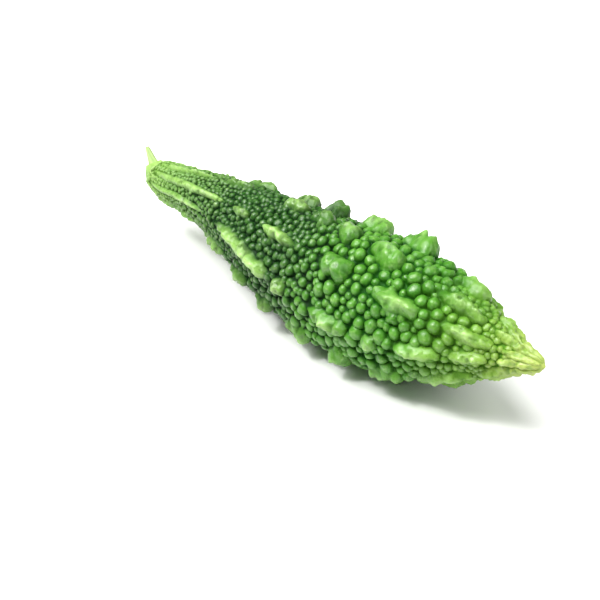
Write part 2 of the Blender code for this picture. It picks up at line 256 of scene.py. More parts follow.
def smooth_noise(points, scale, shift=(0, 0, 0)):
    """Noise between -1 and 1 that is the same at each run."""
    return np.array([noise.noise(Vector(p) * scale + Vector(shift)) for p in points])


def linear(*colour):
    """A colour given as red, green and blue from 0 to 255, in scene linear values."""
    return tuple(((c / 255 + 0.055) / 1.055) ** 2.4 if c > 10 else c / 255 / 12.92 for c in colour)


def core_radius(share, length):
    """The core's radius, closing in a small dome at the blossom tip."""
    into_dome = np.clip((share - 1) * length / TIP_ROUNDING + 1, 0, 1)
    return through(CORE_RADIUS_MM, share) * MM * np.sqrt(1 - into_dome**2)


class Spine:
    """The line that the fruit bends along, with the directions along it, across it and up from it."""

    SAMPLES = 800

    def __init__(self, length, tip):
        self.length = length
        self.share = np.linspace(0, 1, self.SAMPLES)
        pitch = np.radians(through(SPINE_PITCH_DEG, self.share))
        yaw = np.radians(through(SPINE_YAW_DEG, self.share))
        self.along = np.stack([np.cos(pitch) * np.cos(yaw), np.cos(pitch) * np.sin(yaw), np.sin(pitch)], 1)
        self.across = np.stack([-np.sin(yaw), np.cos(yaw), np.zeros_like(yaw)], 1)
        self.up = np.cross(self.along, self.across)
        steps = (self.along[1:] + self.along[:-1]) / 2 * length / (self.SAMPLES - 1)
        place = np.concatenate([np.zeros((1, 3)), np.cumsum(steps, 0)])
        self.place = place - place[-1] + tip
        slope = np.gradient(core_radius(self.share, length), self.share * length)
        self.lean = np.arctan(slope)

    def read(self, line, share):
        return np.stack([np.interp(share, self.share, line[:, i]) for i in range(3)], -1)

    def outward(self, share, angle):
        """The direction out of the fruit at an angle round it, square to the spine."""
        across, up = self.read(self.across, share), self.read(self.up, share)
        return -np.cos(angle)[..., None] * across + np.sin(angle)[..., None] * up

    def skin_point(self, share, angle, rise):
        """The point that stands off the core's skin by rise, square to the skin."""
        outward, along = self.outward(share, angle), self.read(self.along, share)
        lean = np.interp(share, self.share, self.lean)[:, None]
        normal = outward * np.cos(lean) - along * np.sin(lean)
        radius = core_radius(share, self.length)[:, None]
        return self.read(self.place, share) + outward * radius + normal * rise[:, None]


def ridge_angle(ridge, share):
    sway = RIDGE_SWAY_DEG * np.sin(2 * math.pi * (RIDGE_SWAYS * share + RIDGE_SWAY_SHIFT * ridge))
    return np.radians(FIRST_RIDGE_DEG + 360 / RIDGES * ridge + through(RIDGE_TURN_DEG, share) + sway)


def ridge_blocks(draw, length):
    """Each ridge's blocks, as (ridge, share at the start, share at the end, height and width factors)."""
    blocks = [(ridge, *block) for ridge, listed in SET_BLOCKS.items() for block in listed]
    for ridge in sorted(set(range(RIDGES)) - set(SET_BLOCKS)):
        start = draw.uniform(*FIRST_BLOCK_START)
        while start < LAST_BLOCK_START:
            long = float(through(BLOCK_LENGTH_MM, start)) * MM * draw.uniform(*BLOCK_LENGTH_SPREAD)
            end = start + long / length
            if end > LAST_BLOCK_FROM:
                end = LAST_BLOCK_END
            height, width = draw.uniform(*BLOCK_HEIGHT_SPREAD), draw.uniform(*BLOCK_WIDTH_SPREAD)
            blocks.append((ridge, start, end, height, width))
            gap = float(through(BLOCK_GAP_MM, end)) * MM * draw.uniform(*BLOCK_GAP_SPREAD)
            start = end + gap / length
    return blocks


def block_width(along, long):
    """A block's width along it, as a share of its full width."""
    opened = np.sin(np.clip(along * long / min(OPENS_OVER, OPENS_BY * long), 0, 1) * math.pi / 2)
    closed = np.sin(np.clip((1 - along) * long / min(CLOSES_OVER, CLOSES_BY * long), 0, 1) * math.pi / 2)
    return (START_WIDTH + (1 - START_WIDTH) * opened) * (END_WIDTH + (1 - END_WIDTH) * closed)


class Skin:
    """The points of the turned skin, as arrays of share along and angle round, and what grows on them."""

    def __init__(self, share, angle, length, seed):
        order = np.argsort(share, kind="stable")
        self.share, self.angle, self.order = share[order], angle[order], order
        self.length = length
        self.blocks = ridge_blocks(random.Random(seed), length)
        self.throw = np.random.default_rng(seed)
        self.rise = np.zeros_like(self.share)
        self.moved_share, self.moved_angle = self.share.copy(), self.angle.copy()
        self.marks = {name: np.zeros_like(self.share) for name in ("height", "ridge", "tone", "pit", "pale")}
        listed = {(ridge, at): block for ridge, row in SET_BLOCKS.items() for at, block in enumerate(row)}
        self.stemward = {(ridge, listed[ridge, at][0]) for ridge, at in STEMWARD_BLOCKS}
        self.paleness = {(ridge, listed[ridge, at][0]): pale for (ridge, at), pale in PALE_BLOCKS.items()}
        straight = straight_core(self.share, self.angle, length)
        self.wander = np.stack([smooth_noise(straight, WANDER_SCALE, shift) for shift in WANDER_SHIFTS], 1)

    def window(self, low, high):
        return slice(np.searchsorted(self.share, low), np.searchsorted(self.share, high))

    def along_block(self, block, share):
        """How far along a block each point is, from 0 at its low side to 1 at its steep side."""
        _, start, end, _, _ = block
        along = np.clip((share - start) / (end - start), 0, 1)
        return 1 - along if block[:2] in self.stemward else along

    def half_width(self, block, along, share):
        _, start, end, _, width_factor = block
        full = through(RIDGE_HALF_WIDTH_MM, share) * MM * width_factor
        if start < NECK_BLOCK_START:
            full = full * (1 - NECK_TAPER * smooth_step(NECK_TAPERS_FROM, 1, along))
        return full * block_width(along, (end - start) * self.length)

    def across_block(self, block, share, angle):
        """How far along a block each point is, and how far to its side, 1 at its edge."""
        along = self.along_block(block, share)
        aside = turn_between(angle, ridge_angle(block[0], share)) * core_radius(share, self.length)
        return along, aside / self.half_width(block, along, share)

    def raise_block(self, here, block, unevenness):
        """A block's rise over a window: a keel that climbs from its stem side and drops at its tip side. Its
        points crowd towards the steep drop, so that this stays round. Gives the rise and the share and angle
        that each point moves to."""
        ridge, start, end, height_factor, _ = block
        share, wander = self.share[here], self.wander[here]
        along, sideways = self.across_block(block, share, self.angle[here])
        past_neck = EVEN_NECK_SHARE + (1 - EVEN_NECK_SHARE) * smooth_step(*EVEN_NECK, share)
        unevenness = unevenness * (past_neck - EVEN_TIP_SHARE * smooth_step(*EVEN_TIP, share))
        side = sideways * (1 + unevenness * wander[:, 0]) + BACK_WANDER * unevenness * wander[:, 2]
        along = np.clip(along + unevenness * wander[:, 1] * along * (1 - along), 0, 1)
        past_crest = np.clip((along - CREST_TO) / (1 - CREST_TO), 0, 1)
        at_tip = end == LAST_BLOCK_END
        crest_from = TIP_CREST_FROM if at_tip else CREST_FROM
        climb = np.sin(np.clip(along / crest_from, 0, 1) * math.pi / 2) ** CLIMB_POWER
        drop = np.cos(past_crest * math.pi / 2)
        keel = 1 - np.clip(np.abs(side), 0, 1) ** KEEL_POWER
        factor = height_factor * (TIP_HEIGHT if at_tip else 1)
        uneven_top = 1 + TOP_WANDER * unevenness * wander[:, 1]
        height = through(RIDGE_HEIGHT_MM, share) * MM * factor * uneven_top
        crowding = (1 - CREST_TO) * (np.sin(past_crest * math.pi / 2) - past_crest)
        facing = -1 if block[:2] in self.stemward else 1
        moved_share = share + (end - start) * crowding * facing
        around = core_radius(moved_share, self.length)
        width = self.half_width(block, self.along_block(block, moved_share), moved_share)
        moved_angle = ridge_angle(ridge, moved_share) + sideways * width / around
        moved_angle = np.where(np.abs(sideways) < CROWDED_TO, moved_angle, self.angle[here])
        return height * climb * drop * keel, moved_share, moved_angle

    def apart(self, here, place, turn, around):
        """How far the points of a window are from a spot, along the fruit and round it."""
        ahead = (self.share[here] - place) * self.length
        return ahead, turn_between(self.angle[here], turn) * around

    def spots_on(self, block, here, count, along, aside, sizes):
        """Round spots drawn on a block, as how far each point is from each spot in the spot's own radius."""
        ridge, start, end, _, width_factor = block
        for _ in range(count):
            place = start + (end - start) * self.throw.uniform(*along)
            around = core_radius(np.array([place]), self.length)[0]
            half_width = through(RIDGE_HALF_WIDTH_MM, np.array([place]))[0] * MM * width_factor
            turn = ridge_angle(ridge, place) + self.throw.uniform(-aside, aside) * half_width / around
            size = self.throw.uniform(*sizes)
            yield np.hypot(*self.apart(here, place, turn, around)) / size, size

    def raise_blocks(self, unevenness, knuckle_height, pit_depth):
        for block in self.blocks:
            _, start, end, _, width_factor = block
            here = self.window(start, end)
            rise, share, angle = self.raise_block(here, block, unevenness)
            middle = np.array([(start + end) / 2])
            bead = through(BEAD_RADIUS_MM, middle)[0] * MM
            half_width = through(RIDGE_HALF_WIDTH_MM, middle)[0] * MM * width_factor
            room = (end - start) * self.length * half_width * 2
            knuckles, pits = np.zeros_like(rise), np.zeros_like(rise)
            sizes, count = bead * np.array(KNUCKLE_SIZE), int(KNUCKLES_IN_ROOM * room / bead**2)
            for apart, size in self.spots_on(block, here, count, (0, 1), 1, sizes):
                knuckles = np.maximum(knuckles, (1 - np.clip(apart, 0, 1) ** 2) ** KNUCKLE_POWER * size)
            sizes = MM * np.array(PIT_RADIUS_MM)
            count = self.throw.integers(*PITS)
            for apart, _ in self.spots_on(block, here, count, PITS_ALONG, PITS_ASIDE, sizes):
                pits = np.maximum(pits, np.exp(-(apart**2)))
            high = rise / rise.max()
            on_top = smooth_step(0.05, 0.5, high)
            lumpy = rise + (knuckles * knuckle_height - pits * pit_depth * high) * on_top
            higher = rise > self.rise[here]
            self.rise[here] = np.where(higher, lumpy, self.rise[here])
            self.moved_share[here] = np.where(higher, share, self.moved_share[here])
            self.moved_angle[here] = np.where(higher, angle, self.moved_angle[here])
            knuckled = knuckles / (bead * KNUCKLE_SIZE[1])
            paleness = self.paleness.get(block[:2], self.throw.uniform(*PALENESS_SPREAD))
            # The height mark drives the painted shade and highlight: a block's foot is shaded, its plain back
            # partly so, and its knuckles are lit.
            marks = {
                "height": smooth_step(0, 0.3, high) * (0.55 + 0.45 * knuckled),
                "ridge": high, "tone": np.full_like(high, self.throw.uniform(0, 1)), "pit": pits * on_top,
                "pale": paleness * smooth_step(0.1, 0.7, high),
            }
            self.mark(here, higher, marks)

    def mark(self, here, where, marks):
        for name, values in marks.items():
            self.marks[name][here] = np.where(where, values, self.marks[name][here])

    def on_a_block(self, share, angle):
        found = np.zeros(len(share), bool)
        for block in self.blocks:
            along, sideways = self.across_block(block, share, angle)
            found |= (along > BARE_LENGTH[0]) & (along < BARE_LENGTH[1]) & (np.abs(sideways) < BARE_WIDTH)
        return found

    def bead_cells(self, size):
        """The lanes shared out between beads, as arrays of share, angle, radius and form of each cell."""
        shares = np.linspace(*BEADLESS_ENDS, 400)
        radius = through(BEAD_RADIUS_MM, shares) * MM * size
        crowd = 2 * math.pi * core_radius(shares, self.length) / (BEAD_CELL * radius**2)
        reach = np.cumsum(crowd) * (shares[1] - shares[0]) * self.length
        share = np.interp(self.throw.uniform(0, reach[-1], BEAD_SAMPLES), reach, shares)
        angle = self.throw.uniform(-math.pi, math.pi, BEAD_SAMPLES)
        free = ~self.on_a_block(share, angle)
        share, angle = share[free], angle[free]
        around = core_radius(share, self.length)
        spots = straight_core(share, angle, self.length)
        samples_each = BEAD_SAMPLES / reach[-1]
        wanted = int(len(spots) / samples_each)
        all_spots = tree_of(spots)
        middles = self.throw.choice(len(spots), wanted, replace=False)
        for _ in range(BEAD_ROUNDS):
            tree = tree_of(spots[middles])
            owner = np.array([tree.find(spot)[1] for spot in spots])
            count = np.bincount(owner, minlength=wanted)
            mean = np.stack([np.bincount(owner, spots[:, i], wanted) for i in range(3)], 1) / count[:, None]
            middles = np.array([all_spots.find(spot)[1] for spot in mean])
        ahead = (share - share[middles][owner]) * self.length
        aside = turn_between(angle, angle[middles][owner]) * around[middles][owner]
        form = np.stack([np.bincount(owner, pair, wanted) for pair in (ahead**2, ahead * aside, aside**2)], 1)
        full = np.clip(np.sqrt(count / samples_each), *BEAD_LIMITS)
        radius = through(BEAD_RADIUS_MM, share[middles]) * MM * size * full
        return share[middles], angle[middles], radius, form / count[:, None]

    def gap_cells(self, size):
        """Small beads for the ground that still shows between the others, as bead cells, widest gap first."""
        bare = (self.rise < GROUND_RISE) & (self.share > BEADLESS_ENDS[0]) & (self.share < BEADLESS_ENDS[1])
        share, angle = self.share[bare], self.angle[bare]
        spots = straight_core(share, angle, self.length)
        covered = tree_of(straight_core(self.share[~bare], self.angle[~bare], self.length))
        reach = np.array([covered.find(spot)[2] for spot in spots])
        least = through(BEAD_RADIUS_MM, share) * MM * size * SMALLEST_GAP
        chosen, taken = [], reach < least
        for number in np.argsort(-reach):
            if not taken[number]:
                chosen.append(number)
                taken |= ((spots - spots[number]) ** 2).sum(1) < (reach[number] + least[number]) ** 2
        round_form = np.tile([1.0, 0.0, 1.0], (len(chosen), 1))
        return share[chosen], angle[chosen], reach[chosen] * SMALL_BEAD, round_form

    def raise_beads(self, cells):
        """Lifts each bead's patch of skin into a round bead, spreading its points evenly over the dome."""
        for place, turn, radius, form in zip(*cells):
            size = radius * self.throw.uniform(*BEAD_SPREAD)
            spread = (form[0] + form[2]) / 2
            form = BEAD_STRETCH * form + (1 - BEAD_STRETCH) * spread * np.array([1, 0, 1])
            flat = form[0] * form[2] - form[1] ** 2
            pull = np.array([form[2], form[1], form[0]]) / flat**0.5 / size**2
            here = self.window(place - 2 * size / self.length, place + 2 * size / self.length)
            around = core_radius(np.array([place]), self.length)[0]
            ahead, aside = self.apart(here, place, turn, around)
            apart = np.sqrt(pull[0] * ahead**2 - 2 * pull[1] * ahead * aside + pull[2] * aside**2)
            dome = np.cos(np.clip(apart, 0, 1) * math.pi / 2) * size
            higher = (apart < 1) & (dome > self.rise[here])
            settled = smooth_step(0, SETTLED_AT * size, dome - self.rise[here])
            swell = 1 + settled * (np.sin(apart * math.pi / 2) / np.maximum(apart, 1e-6) - 1)
            moved_share, moved_angle = place + ahead * swell / self.length, turn + aside * swell / around
            self.moved_share[here] = np.where(higher, moved_share, self.moved_share[here])
            self.moved_angle[here] = np.where(higher, moved_angle, self.moved_angle[here])
            # The height mark drives the painted shade in the crease round each bead and the painted highlight
            # on its top.
            marks = {"height": dome / size, "ridge": 0, "tone": self.throw.uniform(0, 1), "pit": 0, "pale": 0}
            self.mark(here, higher, marks)
            self.rise[here] = np.where(higher, dome, self.rise[here])

    def in_mesh_order(self, values):
        ordered = np.empty_like(values)
        ordered[self.order] = values
        return ordered


def straight_core(share, angle, length):
    """Where the core's skin would be if its spine were straight."""
    around = core_radius(share, length)
    return np.stack([share * length, -np.cos(angle) * around, np.sin(angle) * around], 1)


def tree_of(spots):
    tree = kdtree.KDTree(len(spots))
    for number, spot in enumerate(spots):
        tree.insert(spot, number)
    tree.balance()
    return tree


def unit_tube(rings, segments):
    """A tube of radius 1 from x = 0 to x = 1, closed at both ends by a fan, in a bmesh."""
    shape = bmesh.new()
    corners = [shape.verts.new(place) for place in ((0, 0, 0), (0, 0, 1), (1, 0, 1), (1, 0, 0))]
    line = [shape.edges.new(pair) for pair in zip(corners, corners[1:])]
    bmesh.ops.subdivide_edges(shape, edges=line[1:2], cuts=rings - 2)
    bmesh.ops.spin(
        shape, geom=shape.verts[:] + shape.edges[:], cent=(0, 0, 0), axis=(1, 0, 0), angle=2 * math.pi,
        steps=segments, use_merge=True,
    )
    bmesh.ops.remove_doubles(shape, verts=shape.verts[:], dist=1e-6)
    bmesh.ops.recalc_face_normals(shape, faces=shape.faces[:])
    return shape


def finished_piece(name, shape, points, marks=None):
    """The bmesh as an object in the scene, its points moved to these places and its marks as attributes."""
    mesh = bpy.data.meshes.new(name)
    shape.to_mesh(mesh)
    shape.free()
    mesh.vertices.foreach_set("co", np.asarray(points, np.float32).ravel())
    for mark, values in (marks or {}).items():
        mesh.attributes.new(mark, "FLOAT", "POINT").data.foreach_set("value", values.astype(np.float32))
    mesh.shade_smooth()
    piece = bpy.data.objects.new(name, mesh)
    bpy.context.scene.collection.objects.link(piece)
    return piece


def cad_tip():
    """The blossom tip of the solid fruit: its furthest point along +X."""
    return np.array(max((v.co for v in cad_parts["fruit"].data.vertices), key=lambda co: co.x))


def fruit_spine(shape):
    return Spine(shape.length, cad_tip())


def make_fruit(shape):
    """The whole skin in one mesh, with ridges, blocks and beads raised on it."""
    tube = unit_tube(shape.rings, shape.segments)
    tube.verts.ensure_lookup_table()
    raw = np.array([v.co for v in tube.verts])
    pole = np.hypot(raw[:, 1], raw[:, 2]) < 0.5
    fine = np.linspace(0, 1, 500)
    rings_wanted = np.cumsum(1 / (RING_GAP[0] + RING_GAP[1] * through(BEAD_RADIUS_MM, fine)))
    rings_wanted = (rings_wanted - rings_wanted[0]) / (rings_wanted[-1] - rings_wanted[0])
    share = np.interp(raw[:, 0], rings_wanted, fine)
    angle = np.arctan2(raw[:, 2], -raw[:, 1])
    skin = Skin(share, angle, shape.length, shape.seed)
    skin.raise_blocks(shape.unevenness, shape.knuckle_height, shape.pit_depth)
    skin.raise_beads(skin.bead_cells(shape.bead_size))
    skin.raise_beads(skin.gap_cells(shape.bead_size))
    swell = 0.5 + 0.5 * np.cos(RIDGES * (skin.angle - ridge_angle(0, skin.share)))
    skin.rise += shape.swell * swell * smooth_hill(*SWELLS_BETWEEN, skin.share)
    skin.rise[(skin.share < 1e-4) | (skin.share > 1 - 1e-4)] = 0
    spine = fruit_spine(shape)
    points = spine.skin_point(skin.moved_share, skin.moved_angle, skin.rise)
    lumps = sum(part * smooth_noise(points, scale) for scale, part in LUMPS)
    skin.rise += shape.lumpiness * lumps * np.minimum(skin.rise, LUMPY_UP_TO)
    points = skin.in_mesh_order(spine.skin_point(skin.moved_share, skin.moved_angle, skin.rise))
    points[pole] = spine.read(spine.place, share[pole])
    points[:, 2] = np.maximum(points[:, 2], 0)
    marks = {name: skin.in_mesh_order(values) for name, values in skin.marks.items()}
    # The bare ends count as high in the height mark, which keeps most of the painted crease shade off them.
    bare = 1 - smooth_hill(*COVERED_BETWEEN, share)
    marks["height"] = np.maximum(marks["height"], bare * BARE_HEIGHT)
    return finished_piece("fruit_skin", tube, points, {"along": share, **marks})


# The stub goes on almost straight from the fruit's own direction, and narrows to a dry point.
STEM_SUNK = 1.2 * MM
STEM_BEND_DEG = 2
STEM_BENT_BY = 0.6
STEM_RIBS = 5
STEM_TWIST = 2.5
STEM_RADIUS_MM = [(0.0, 2.7), (0.15, 2.2), (0.35, 1.8), (0.6, 1.45), (0.85, 1.1), (1.0, 0.75)]


def make_stem(spine, shape):
    """The stub: a ribbed stalk on a slightly bent line, its foot sunk in the fruit's end."""
    tube = unit_tube(shape.stem_rings, shape.stem_segments)
    tube.verts.ensure_lookup_table()
    raw = np.array([v.co for v in tube.verts])
    samples = np.linspace(0, 1, 200)
    bend = math.radians(STEM_BEND_DEG) * np.clip(samples / STEM_BENT_BY, 0, 1)
    back, up = -spine.along[0], spine.up[0]
    ahead = np.cos(bend)[:, None] * back + np.sin(bend)[:, None] * up
    aside = np.cross(ahead, spine.across[0])
    step = (shape.stem_length + STEM_SUNK) / len(samples)
    place = spine.place[0] - back * STEM_SUNK + np.cumsum(ahead, 0) * step
    share, turn = raw[:, 0], np.arctan2(raw[:, 2], raw[:, 1])
    ribs = 1 + shape.stem_ribs * np.cos(STEM_RIBS * turn + STEM_TWIST * share)
    radius = through(STEM_RADIUS_MM, share) * MM * ribs * np.hypot(raw[:, 1], raw[:, 2])
    line = np.stack([np.interp(share, samples, place[:, i]) for i in range(3)], 1)
    aside = np.stack([np.interp(share, samples, aside[:, i]) for i in range(3)], 1)
    out = np.cos(turn)[:, None] * spine.across[0] + np.sin(turn)[:, None] * aside
    points = line + out * radius[:, None]
    return finished_piece("stem_stub", tube, points, {"along": share, "rib": (ribs - 1) / shape.stem_ribs})


class Wire:
    """A value in a material. Arithmetic on it adds the Math nodes that work it out."""

    def __init__(self, finish, socket):
        self.finish, self.socket = finish, socket

    def math(self, operation, first, second):
        return self.finish.add("ShaderNodeMath", {"operation": operation}, {0: first, 1: second})

    def __add__(self, other):
        return self.math("ADD", self, other)

    def __radd__(self, other):
        return self.math("ADD", other, self)

    def __sub__(self, other):
        return self.math("SUBTRACT", self, other)

    def __rsub__(self, other):
        return self.math("SUBTRACT", other, self)

    def __mul__(self, other):
        return self.math("MULTIPLY", self, other)

    def __rmul__(self, other):
        return self.math("MULTIPLY", other, self)

    def steps(self, low, high):
        """0 below low, 1 above high, and smooth between."""
        inputs = {"Value": self, "From Min": low, "From Max": high}
        return self.finish.add("ShaderNodeMapRange", {"interpolation_type": "SMOOTHSTEP"}, inputs)


class Finish:
    """A material being made: add() places one node, and the helpers name the common ones."""

    def __init__(self, name):
        self.material = bpy.data.materials.new(name)
        self.material.use_nodes = True
        self.tree = self.material.node_tree
        self.surface = self.tree.nodes["Principled BSDF"]

    def add(self, kind, settings, inputs, output=0):
        node = self.tree.nodes.new(kind)
        for setting, value in settings.items():
            if setting == "stops":
                self.set_stops(node.color_ramp, value)
            else:
                setattr(node, setting, value)
        for socket, value in inputs.items():
            self.plug(node.inputs[socket], value)
        return Wire(self, node.outputs[output])

    def set_stops(self, ramp, stops):
        while len(ramp.elements) < len(stops):
            ramp.elements.new(0.5)
        for element, (position, colour) in zip(ramp.elements, stops):
            element.position, element.color = position, (*colour, 1)

    def plug(self, socket, value):
        if isinstance(value, Wire):
            self.tree.links.new(value.socket, socket)
        elif socket.type == "RGBA" and len(value) == 3:
            socket.default_value = (*value, 1)
        else:
            socket.default_value = value

    def attribute(self, name):
        return self.add("ShaderNodeAttribute", {"attribute_name": name}, {}, "Fac")

    def place(self):
        return self.add("ShaderNodeTexCoord", {}, {}, "Object")

    def noise(self, scale, detail=3.0):
        return self.add("ShaderNodeTexNoise", {}, {"Vector": self.place(), "Scale": scale, "Detail": detail})

    def cells(self, scale):
        return self.add("ShaderNodeTexVoronoi", {}, {"Vector": self.place(), "Scale": scale})

    def ramp(self, value, stops):
        return self.add("ShaderNodeValToRGB", {"stops": stops}, {"Fac": value})

    def mix(self, factor, first, second, blend="MIX"):
        settings = {"data_type": "RGBA", "blend_type": blend}
        return self.add("ShaderNodeMix", settings, {0: factor, 6: first, 7: second}, 2)

    def bump(self, height, distance, strength):
        sizes = {"Height": height, "Distance": distance, "Strength": strength}
        return self.add("ShaderNodeBump", {}, sizes)

    def set(self, **sockets):
        for name, value in sockets.items():
            self.plug(self.surface.inputs[name.replace("_", " ")], value)


# The skin's patterns: how many of each go to a metre, and how strongly it shows.
ZONE_SCALE = 22
ZONE_BLUR = 0.14
TONE_SCALE = 70
TONE_STRENGTH = 0.3
BEAD_TONE_STRENGTH = 0.6
SHADED = (0.46, 0.64, 0.38)
WAX_SCALE = 420
# Painted highlight: the highest tops, patches of wax weighted by height, and the blocks' crests pale towards
# the bloom colour.
WAX_AND_HIGHLIGHT_STRENGTH = 0.22
TOP_HIGHLIGHT = 0.1
CREST_HIGHLIGHT = 0.04
PALE_CREST_HIGHLIGHT = 0.38
SPECK_SCALE = 900
SPECK_STRENGTH = 0.4
# Painted shade: the pits' dimples are darkened towards the crease colour.
PIT_SHADE_STRENGTH = 0.6
GRAIN_SCALE = 1000
GRAIN_DEPTH = 0.6 * MM


def gourd_skin(colours):
    """Waxy skin: painted shade in the creases and pits, green on the beads, paler on the ridges and towards
    both ends, with painted highlight on the highest tops and the crests.
    """
    finish = Finish("gourd_skin")
    along, height = finish.attribute("along"), finish.attribute("height")
    ridge, tone = finish.attribute("ridge"), finish.attribute("tone")
    pit, pale = finish.attribute("pit"), finish.attribute("pale")
    zone = along + (finish.noise(ZONE_SCALE) - 0.5) * ZONE_BLUR
    # The crease colours along the fruit: painted shade for the creases and pits, and the colour of the real
    # specks.
    gap = finish.ramp(zone, [
        (0.0, colours.neck_shade_and_speck), (0.22, colours.gap), (0.55, colours.gap), (0.72, colours.belly_shade_and_speck),
        (1.0, colours.tip_shade_and_speck),
    ])
    bead = finish.ramp(zone, [
        (0.0, colours.neck), (0.12, colours.bead_neck), (0.30, colours.bead_dark), (0.46, colours.bead_dark),
        (0.58, colours.bead_belly), (0.78, colours.bead_belly), (0.90, colours.bead_tip), (1.0, colours.tip),
    ])
    crest = finish.ramp(zone, [
        (0.0, colours.neck), (0.25, colours.pale_dark), (0.50, colours.pale_dark),
        (0.62, colours.pale_belly), (0.78, colours.pale_belly), (0.90, colours.pale_tip), (1.0, colours.tip),
    ])
    body = finish.mix(pale, bead, crest)
    shaded = finish.mix(1.0, body, SHADED, "MULTIPLY")
    clouds = finish.noise(TONE_SCALE, 2).steps(0.45, 0.7)
    varied = finish.mix(tone * BEAD_TONE_STRENGTH + clouds * TONE_STRENGTH, body, shaded)
    patches = finish.noise(WAX_SCALE, 4)
    # Painted highlight with some wax bloom: the highest tops, patches of wax weighted by height, and the
    # blocks' crests pale towards the bloom colour.
    wax_and_highlight = height.steps(0.85, 1.0) * TOP_HIGHLIGHT + (patches - 0.5).steps(0.04, 0.24) * WAX_AND_HIGHLIGHT_STRENGTH * height
    crest_highlight = ridge.steps(0.65, 1.0) * (pale * PALE_CREST_HIGHLIGHT + CREST_HIGHLIGHT)
    waxed_and_highlit = finish.mix(wax_and_highlight + crest_highlight, varied, colours.bloom_and_highlight)
    speck = 1 - finish.cells(SPECK_SCALE).steps(0.08, 0.24)
    # Real dark specks on the blocks, plus painted shade in the pits.
    specks_and_pit_shade = speck * ridge.steps(0.1, 0.6) * SPECK_STRENGTH + pit * PIT_SHADE_STRENGTH
    specked_and_pit_shaded = finish.mix(specks_and_pit_shade, waxed_and_highlit, gap)
    # Painted shade: what lies low, in the creases between beads, at the blocks' feet and in part over their
    # plain backs, turns to the crease colour.
    colour = finish.mix(1 - height.steps(0.3, 0.88), specked_and_pit_shaded, gap)
    grain = patches * 1.6 + finish.noise(GRAIN_SCALE, 4) * 0.6
    finish.set(
        Base_Color=colour, Roughness=0.44 + patches * 0.22,
        Normal=finish.bump(grain, GRAIN_DEPTH, 0.7), Specular_IOR_Level=0.12,
        Coat_Weight=height.steps(0.5, 0.95) * 0.6, Coat_Roughness=0.26,
        Subsurface_Weight=0.03, Subsurface_Radius=(0.4, 1.0, 0.15), Subsurface_Scale=0.001,
    )
    return finish.material


STEM_ZONE_SCALE = 500
FURROW_SHADE_STRENGTH = 0.45
FIBRE_SCALE = 2600
FIBRE_DEPTH = 0.15 * MM


def stem_skin(colours):
    """A pale stalk that dries towards its tip, with painted shade in the furrows between the ribs."""
    finish = Finish("stem_skin")
    along, rib = finish.attribute("along"), finish.attribute("rib")
    body = finish.ramp(along + (finish.noise(STEM_ZONE_SCALE) - 0.5) * 0.2, [
        (0.0, colours.neck), (0.35, colours.stem), (0.85, colours.stem), (1.0, colours.stem_dry),
    ])
    # Painted shade in the furrows between the ribs, in the neck's crease colour.
    furrow_shaded = finish.mix((0.5 - rib * 0.5) * FURROW_SHADE_STRENGTH, body, colours.neck_shade_and_speck)
    grain = finish.noise(FIBRE_SCALE, 4)
    finish.set(
        Base_Color=finish.mix(grain * 0.3, furrow_shaded, colours.bloom_and_highlight), Roughness=0.5 + grain * 0.25,
        Normal=finish.bump(grain, FIBRE_DEPTH, 0.6), Subsurface_Weight=0.1,
        Subsurface_Radius=(0.5, 1.0, 0.3), Subsurface_Scale=0.0015,
    )
    return finish.material


def studio_floor(colour):
    finish = Finish("studio_floor")
    finish.set(Base_Color=colour, Roughness=0.6, Specular_IOR_Level=0.2)
    return finish.material


class GourdShape(bpy.types.PropertyGroup):
    length: bpy.props.FloatProperty(
        name="Length", description="Length of the fruit along its bent middle line", default=0.232,
        unit="LENGTH",
    )
    seed: bpy.props.IntProperty(name="Seed", description="Which gourd grows", default=23)
    rings: bpy.props.IntProperty(name="Rings", description="Rings of points along the skin", default=400)
    segments: bpy.props.IntProperty(name="Segments", description="Points round the skin", default=248)
    bead_size: bpy.props.FloatProperty(
        name="Bead size", description="Size of the beads, as a factor", default=1.0, subtype="FACTOR"
    )
    swell: bpy.props.FloatProperty(
        name="Swell", description="How far the skin swells under its ridges", default=0.001, unit="LENGTH"
    )
    unevenness: bpy.props.FloatProperty(
        name="Unevenness", description="How irregular the blocks' outlines are", default=0.5, subtype="FACTOR"
    )
    knuckle_height: bpy.props.FloatProperty(
        name="Knuckles", description="How far the knuckles stand out of the blocks", default=0.5,
        subtype="FACTOR",
    )
    pit_depth: bpy.props.FloatProperty(
        name="Pit depth", description="Depth of the dimples in the blocks", default=0.0012, unit="LENGTH"
    )
    lumpiness: bpy.props.FloatProperty(
        name="Lumpiness", description="How uneven the blocks and beads are", default=0.34, subtype="FACTOR"
    )
    stem_length: bpy.props.FloatProperty(
        name="Stem length", description="Length of the stub of stem", default=0.0079, unit="LENGTH"
    )
    stem_ribs: bpy.props.FloatProperty(
        name="Stem ribs", description="How far the stem's ribs stand out", default=0.09, subtype="FACTOR"
    )
    stem_rings: bpy.props.IntProperty(name="Stem rings", description="Rings along the stem", default=60)
    stem_segments: bpy.props.IntProperty(
        name="Stem segments", description="Points round the stem", default=60
    )


def skin_colour(name, description, *rgb):
    return bpy.props.FloatVectorProperty(
        name=name, description=description, subtype="COLOR", size=3, min=0, max=1, default=linear(*rgb)
    )


